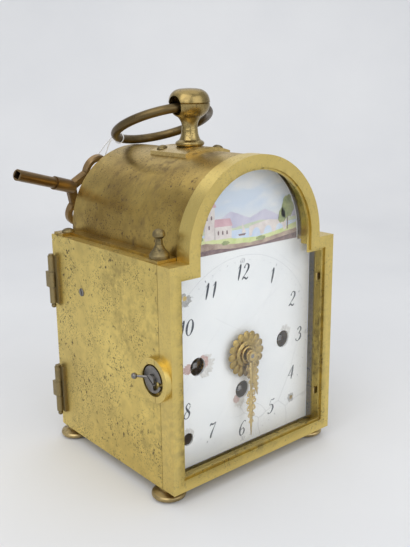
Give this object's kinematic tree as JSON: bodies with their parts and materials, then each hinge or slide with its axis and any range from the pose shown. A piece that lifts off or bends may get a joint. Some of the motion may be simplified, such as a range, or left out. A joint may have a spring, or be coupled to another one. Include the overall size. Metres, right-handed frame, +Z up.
{
  "type": "travel clock",
  "caption": "Arched brass travel clock with a glazed front door, rear door, alarm and striking barrels, a carrying ring and a hanging winding key.",
  "frame": {"origin": "on the table, level with the bottoms of the feet, under the middle of the whole clock with its hanging key and without the thread", "axes": "+X to the right of someone reading the dial, -Y out through the dial, +Z up"},
  "size_m": [0.1068, 0.0954, 0.1533],
  "materials": {
    "case_brass": "satin, aged",
    "vault_brass": "aged, patinated",
    "bezel_brass": "satin, aged",
    "hinge_bronze": "dark, aged",
    "post_brass": "polished, aged",
    "ring_bronze": "dark, worn",
    "key_bronze": "dark, worn",
    "thread": "matt",
    "glass": "clear",
    "dial_enamel": "glossy enamel",
    "gilt": "gilt",
    "movement_brass": "satin",
    "steel": "ground",
    "bell_metal": "turned"
  },
  "bodies": {
    "case": {"left_side_plate": "case_brass", "right_side_plate": "case_brass", "base_plate": "case_brass", "shoulder_plate": "case_brass", "vault_cover": "vault_brass", "rear_lunette": "case_brass", "rear_rail": "case_brass", "feet": "post_brass", "cover_finials": "hinge_bronze", "cover_rear_screws": "hinge_bronze", "post_plate": "post_brass", "handle_post": "post_brass", "post_plate_screws": "hinge_bronze", "case_hinge_leaves": "hinge_bronze", "hinge_pins": "steel", "latch_mount": "bezel_brass", "latch_screw": "steel", "side_screw": "steel", "dial": "dial_enamel", "dial_feet": "movement_brass", "front_movement_plate": "movement_brass", "back_movement_plate": "movement_brass", "movement_pillars": "movement_brass", "movement_supports": "movement_brass", "balance_cock": "gilt", "bell": "bell_metal", "bell_stand": "steel"},
    "front_door": {"front_door_frame": "bezel_brass", "front_door_glass": "glass", "glass_clips": "movement_brass", "front_hinge_door_leaves": "hinge_bronze", "latch_keeper": "bezel_brass"},
    "rear_door": {"rear_door": "case_brass", "rear_hinge_door_leaves": "hinge_bronze"},
    "rear_button": {"rear_door_button": "post_brass"},
    "latch_lever": {"latch_lever": "steel"},
    "ring": {"carrying_ring": "ring_bronze"},
    "key": {"winding_key": "key_bronze", "key_thread": "thread"},
    "minute_train": {"centre_arbor": "steel", "centre_wheel": "movement_brass", "cannon_pinion": "steel", "minute_hand": "gilt", "hand_collet": "gilt"},
    "hour_train": {"hour_wheel": "movement_brass", "hour_hand": "gilt"},
    "alarm_disc": {"alarm_disc": "gilt"},
    "minute_wheel": {"minute_wheel": "movement_brass"},
    "going_barrel": {"going_barrel": "movement_brass"},
    "going_arbor": {"going_winding_arbor": "steel"},
    "striking_barrel": {"striking_barrel": "movement_brass"},
    "striking_arbor": {"striking_winding_arbor": "steel"},
    "alarm_barrel": {"alarm_barrel": "movement_brass"},
    "alarm_arbor": {"alarm_winding_arbor": "steel"},
    "third_wheel": {"third_wheel": "movement_brass"},
    "escape_wheel": {"escape_wheel": "movement_brass"},
    "balance": {"balance_wheel": "gilt", "balance_spring": "steel"},
    "hammer": {"bell_hammer": "steel"}
  },
  "joints": [
    {"name": "front_door_hinge", "type": "hinge", "parent": "case", "child": "front_door", "pos_m": [0.05194, -0.04039, 0.05], "axis": [0, 0, 1], "range_deg": [0, 105]},
    {"name": "rear_door_hinge", "type": "hinge", "parent": "case", "child": "rear_door", "pos_m": [-0.03866, 0.03326, 0.05], "axis": [0, 0, 1], "range_deg": [0, 105]},
    {"name": "rear_button_turn", "type": "hinge", "parent": "rear_door", "child": "rear_button", "pos_m": [0.04114, 0.03491, 0.0487], "axis": [0, 1, 0], "range_deg": [0, 90]},
    {"name": "latch_turn", "type": "hinge", "parent": "case", "child": "latch_lever", "pos_m": [-0.03786, -0.03829, 0.0497], "axis": [-1, 0, 0], "range_deg": [0, 50]},
    {"name": "ring_swing", "type": "hinge", "parent": "case", "child": "ring", "pos_m": [0.00664, -0.00689, 0.146], "axis": [1, 0, 0], "range_deg": [0, 85]},
    {"name": "key_hang", "type": "hinge", "parent": "ring", "child": "key", "pos_m": [-0.00512, 0.02779, 0.13226], "axis": [0.8192, 0.5333, -0.2112], "range_deg": [-85, 0]},
    {"name": "minute_hand_turn", "type": "hinge", "parent": "case", "child": "minute_train", "pos_m": [0.00664, -0.03809, 0.0487], "axis": [0, 1, 0], "continuous": true},
    {"name": "hour_hand_turn", "type": "hinge", "parent": "case", "child": "hour_train", "pos_m": [0.00664, -0.03809, 0.0487], "axis": [0, 1, 0], "continuous": true},
    {"name": "alarm_disc_turn", "type": "hinge", "parent": "hour_train", "child": "alarm_disc", "pos_m": [0.00664, -0.03809, 0.0487], "axis": [0, 1, 0], "continuous": true},
    {"name": "minute_wheel_turn", "type": "hinge", "parent": "case", "child": "minute_wheel", "pos_m": [-0.00319, -0.03209, 0.04182], "axis": [0, 1, 0], "continuous": true},
    {"name": "going_barrel_turn", "type": "hinge", "parent": "case", "child": "going_barrel", "pos_m": [0.03024, -0.00639, 0.0487], "axis": [0, 1, 0], "continuous": true},
    {"name": "going_winding", "type": "hinge", "parent": "case", "child": "going_arbor", "pos_m": [0.03024, -0.00639, 0.0487], "axis": [0, 1, 0], "continuous": true},
    {"name": "striking_barrel_turn", "type": "hinge", "parent": "case", "child": "striking_barrel", "pos_m": [-0.01696, -0.00639, 0.0487], "axis": [0, 1, 0], "continuous": true},
    {"name": "striking_winding", "type": "hinge", "parent": "case", "child": "striking_arbor", "pos_m": [-0.01696, -0.00639, 0.0487], "axis": [0, 1, 0], "continuous": true},
    {"name": "alarm_barrel_turn", "type": "hinge", "parent": "case", "child": "alarm_barrel", "pos_m": [0.00664, -0.00639, 0.0325], "axis": [0, 1, 0], "continuous": true},
    {"name": "alarm_winding", "type": "hinge", "parent": "case", "child": "alarm_arbor", "pos_m": [0.00664, -0.00639, 0.0325], "axis": [0, 1, 0], "continuous": true},
    {"name": "third_wheel_turn", "type": "hinge", "parent": "case", "child": "third_wheel", "pos_m": [0.01446, -0.00639, 0.06225], "axis": [0, 1, 0], "continuous": true},
    {"name": "escape_wheel_turn", "type": "hinge", "parent": "case", "child": "escape_wheel", "pos_m": [0.02476, -0.00639, 0.07088], "axis": [0, 1, 0], "continuous": true},
    {"name": "balance_swing", "type": "hinge", "parent": "case", "child": "balance", "pos_m": [0.01616, 0.01361, 0.07088], "axis": [0, 1, 0], "range_deg": [-120, 120], "stiffness_Nm_per_rad": 0.000002},
    {"name": "hammer_swing", "type": "hinge", "parent": "case", "child": "hammer", "pos_m": [-0.02036, 0.01361, 0.074], "axis": [0, 1, 0], "range_deg": [0, 20], "stiffness_Nm_per_rad": 0.0006, "springref_deg": -22.92}
  ],
  "couplings": [
    {"joint": "key_hang", "follows": "ring_swing", "ratio": -1},
    {"joint": "minute_wheel_turn", "follows": "minute_hand_turn", "ratio": -0.33333},
    {"joint": "hour_hand_turn", "follows": "minute_hand_turn", "ratio": 0.083333},
    {"joint": "going_barrel_turn", "follows": "minute_hand_turn", "ratio": -0.40741},
    {"joint": "third_wheel_turn", "follows": "minute_hand_turn", "ratio": -7.5},
    {"joint": "escape_wheel_turn", "follows": "minute_hand_turn", "ratio": 52.5}
  ]
}
